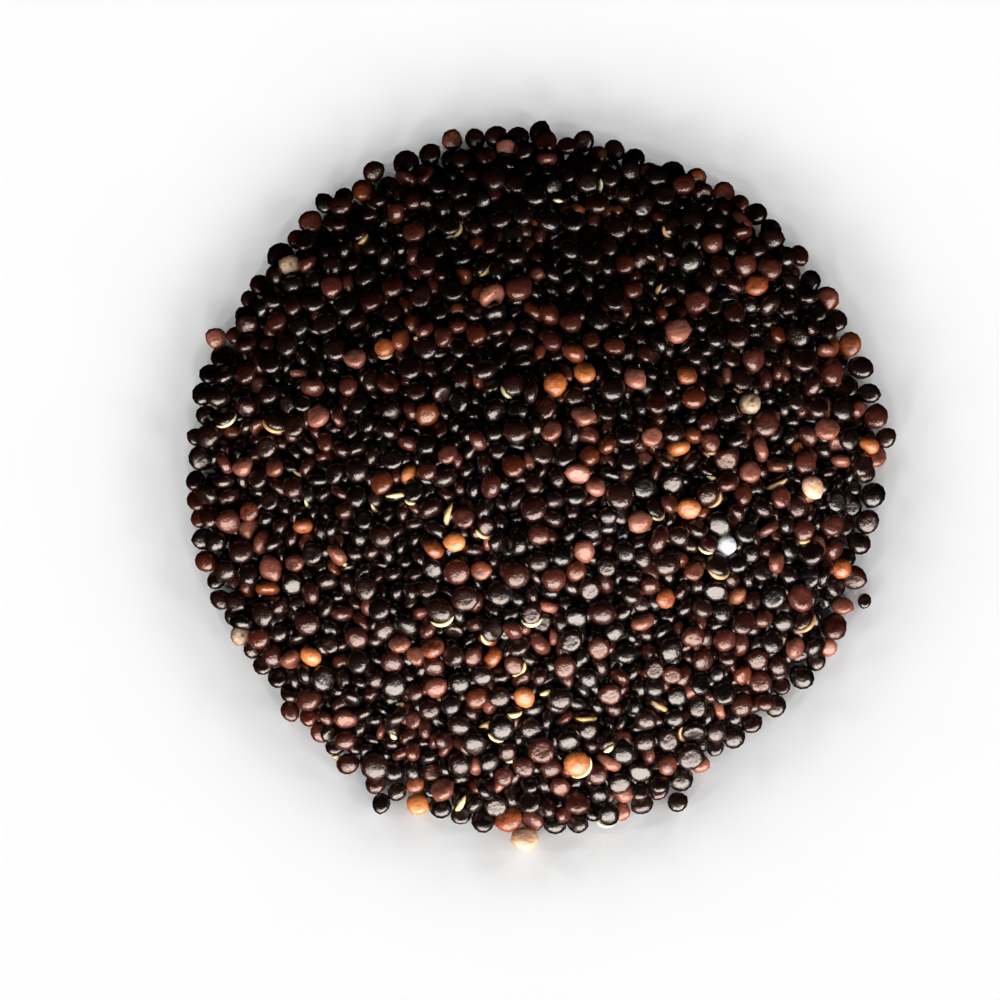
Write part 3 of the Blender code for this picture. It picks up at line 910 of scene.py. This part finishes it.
# %% [markdown]
# A window is a wide rectangle of even brightness. The larger and dimmer it is, the softer and
# wider is the patch that it leaves on each grain, and this one is wide and quite near. The halo
# is where the heap hides a part of the low sky from the table. A ring of twelve suns, each with a
# wide disc, stands for that sky, a little stronger in front. A dome of light round the scene could
# do it too, but it would also fill the gaps between the grains.

# %% The lights
# Lamps are turned to a point this high over the middle of the heap's foot, in metres.
AIM_HEIGHT = 0.004


def aim(lamp, place, target=(0, 0, AIM_HEIGHT)):
    """Puts a lamp at a place and turns it to the target."""
    holder = bpy.data.objects.new(lamp.name, lamp)
    holder.location = place
    holder.rotation_euler = (Vector(target) - Vector(place)).to_track_quat("-Z", "Y").to_euler()
    bpy.context.scene.collection.objects.link(holder)
    return holder


def from_side(bearing, elevation, distance):
    """A point at a bearing clockwise from the front and an elevation, both in degrees.

    It is the distance times (-sin(bearing) cos(elevation), -cos cos, sin(elevation)).
    """
    turn, rise = np.radians(bearing), np.radians(elevation)
    level = np.cos(rise)
    return distance * np.array([-np.sin(turn) * level, -np.cos(turn) * level, np.sin(rise)])


# The window: bearing, elevation, width and height in metres, and power in watts.
WINDOW = (-8, 27, 0.80, 0.38, 10.8)
WINDOW_DISTANCE = 0.42
WINDOW_COLOUR = (1.0, 0.94, 0.89)
# The low sky: number of suns, their elevation, disc and strength, and how much the front gains.
SUNS = 12
SUN_ELEVATION = 20
SUN_DISC = 12
SUN_STRENGTH = 0.85
FRONT_GAIN = 0.3
ROOM_STRENGTH = 0.001


def window(name, bearing, elevation, width, height, power):
    """A rectangular soft light that only the grains receive."""
    lamp = bpy.data.lights.new(name, "AREA")
    lamp.shape = "RECTANGLE"
    lamp.size, lamp.size_y, lamp.energy = width, height, power
    lamp.color = WINDOW_COLOUR
    holder = aim(lamp, from_side(bearing, elevation, WINDOW_DISTANCE))
    holder.light_linking.receiver_collection = grains_only


def table_sun(name, bearing, elevation, width, strength):
    """A sun with a disc some degrees wide that only the table receives."""
    lamp = bpy.data.lights.new(name, "SUN")
    lamp.angle, lamp.energy = np.radians(width), strength
    holder = aim(lamp, from_side(bearing, elevation, 1.0))
    holder.light_linking.receiver_collection = table_only


window("window", *WINDOW)
for number in range(SUNS):
    bearing = 360 // SUNS * number
    strength = SUN_STRENGTH * (1 + FRONT_GAIN * np.cos(np.radians(bearing)))
    table_sun(f"low_sky_{number}", bearing, SUN_ELEVATION, SUN_DISC, strength)
print("lights:", 1 + SUNS)

world = bpy.data.worlds.new("room")
bpy.context.scene.world = world
world.use_nodes = True
world.node_tree.nodes["Background"].inputs["Color"].default_value = (1, 1, 1, 1)
world.node_tree.nodes["Background"].inputs["Strength"].default_value = ROOM_STRENGTH
world.cycles_visibility.glossy = False

# %% [markdown]
# ## Camera
# The heap's outline in the photograph is as tall as it is wide, which puts the camera almost
# overhead. From 84 degrees the grains' near sides stay in view, as they do there, and a long lens
# makes the perspective as flat as it is there. The frame is as wide as the photograph at the
# grains' scale.

# %% The camera
LENS = 240
SENSOR = 36
PHOTO_SIDE = 1000
# Height in millimetres at which the scale and the middle are true.
TARGET_HEIGHT = 2.0
FRAME_WIDTH = PHOTO_SIDE * PIXEL * MILLIMETRE
camera_distance = FRAME_WIDTH * LENS / SENSOR
camera_data = bpy.data.cameras.new("camera")
camera_data.lens, camera_data.sensor_width = LENS, SENSOR
tilt = np.radians(CAMERA_ELEVATION)
right, down = (PHOTO_SIDE / 2 - PHOTO_MIDDLE[0]) * PIXEL, (PHOTO_MIDDLE[1] - PHOTO_SIDE / 2) * PIXEL
target_y = (down - TARGET_HEIGHT * np.cos(tilt)) / np.sin(tilt)
target = Vector((right, target_y, TARGET_HEIGHT)) * MILLIMETRE
camera = aim(camera_data, Vector(from_side(0, CAMERA_ELEVATION, camera_distance)) + target, target)
bpy.context.scene.camera = camera
bpy.context.scene.view_settings.view_transform = "Standard"
print("camera is", round(camera_distance, 3), "m away")
